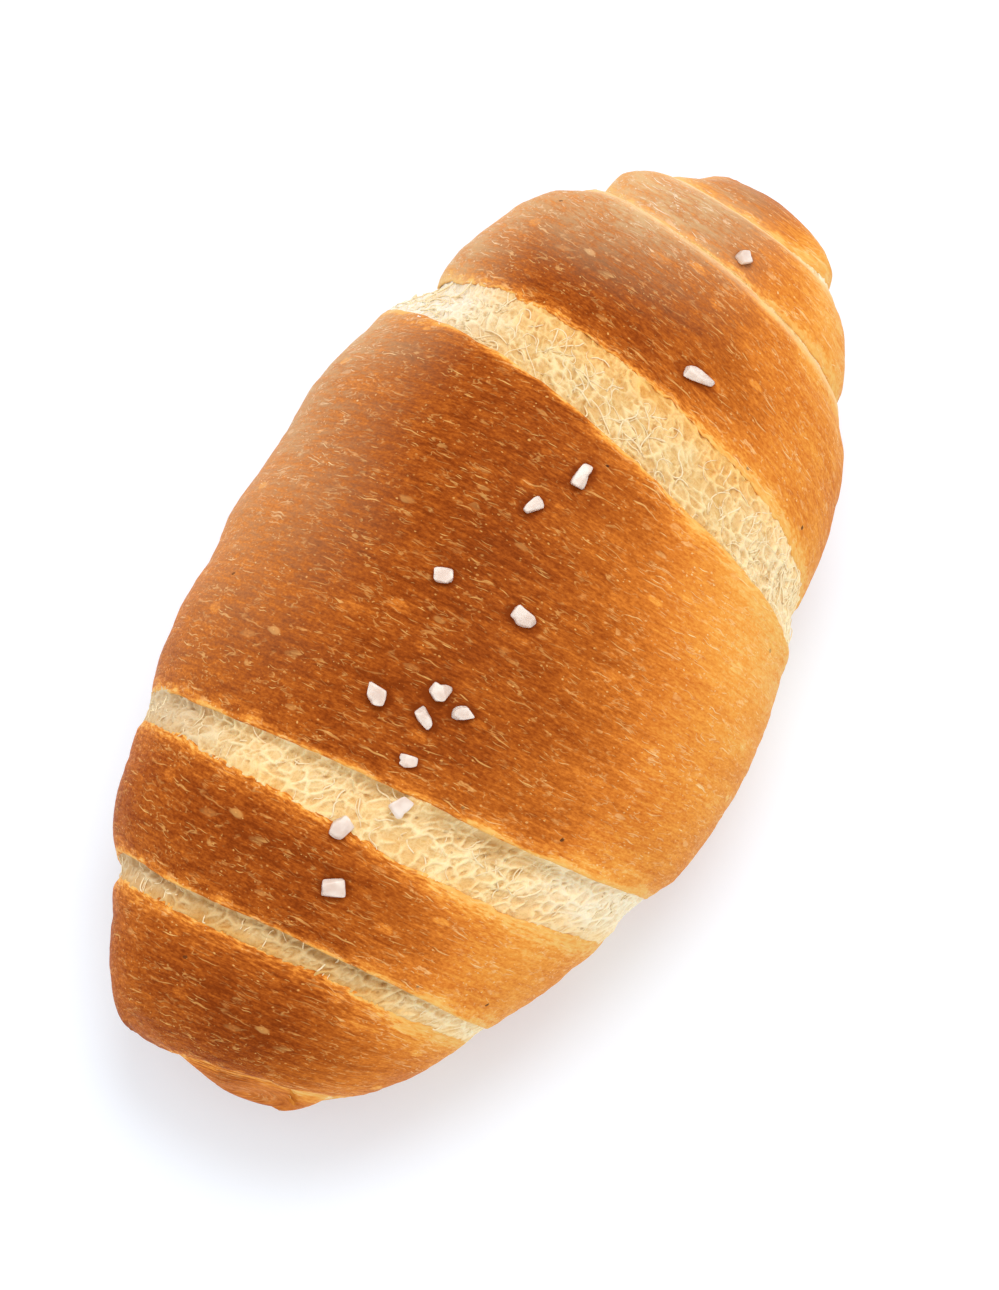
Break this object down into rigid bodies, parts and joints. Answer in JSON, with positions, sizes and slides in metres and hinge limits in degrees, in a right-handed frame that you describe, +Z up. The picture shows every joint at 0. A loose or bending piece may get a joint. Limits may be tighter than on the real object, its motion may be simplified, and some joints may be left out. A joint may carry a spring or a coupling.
{
  "type": "salt bread roll",
  "caption": "Long baked bread roll, wound up from a triangle of dough, with stepped spiral wraps, coarse salt on its crown and a flat underside.",
  "frame": {"origin": "centre of the roll's box, on the board it rests on", "axes": "+X along the roll, towards the end where the upper wrap's crumb is barest; +Z up, away from the flat underside; +Y across the roll, to the left when looking along +X"},
  "size_m": [0.1244, 0.0662, 0.0474],
  "materials": {
    "crust": "baked crust, golden brown, slight shine",
    "crumb": "soft torn crumb, cream to golden",
    "salt": "coarse salt, cloudy white"
  },
  "bodies": {
    "root": {"salt_roll": "crust"}
  },
  "joints": []
}
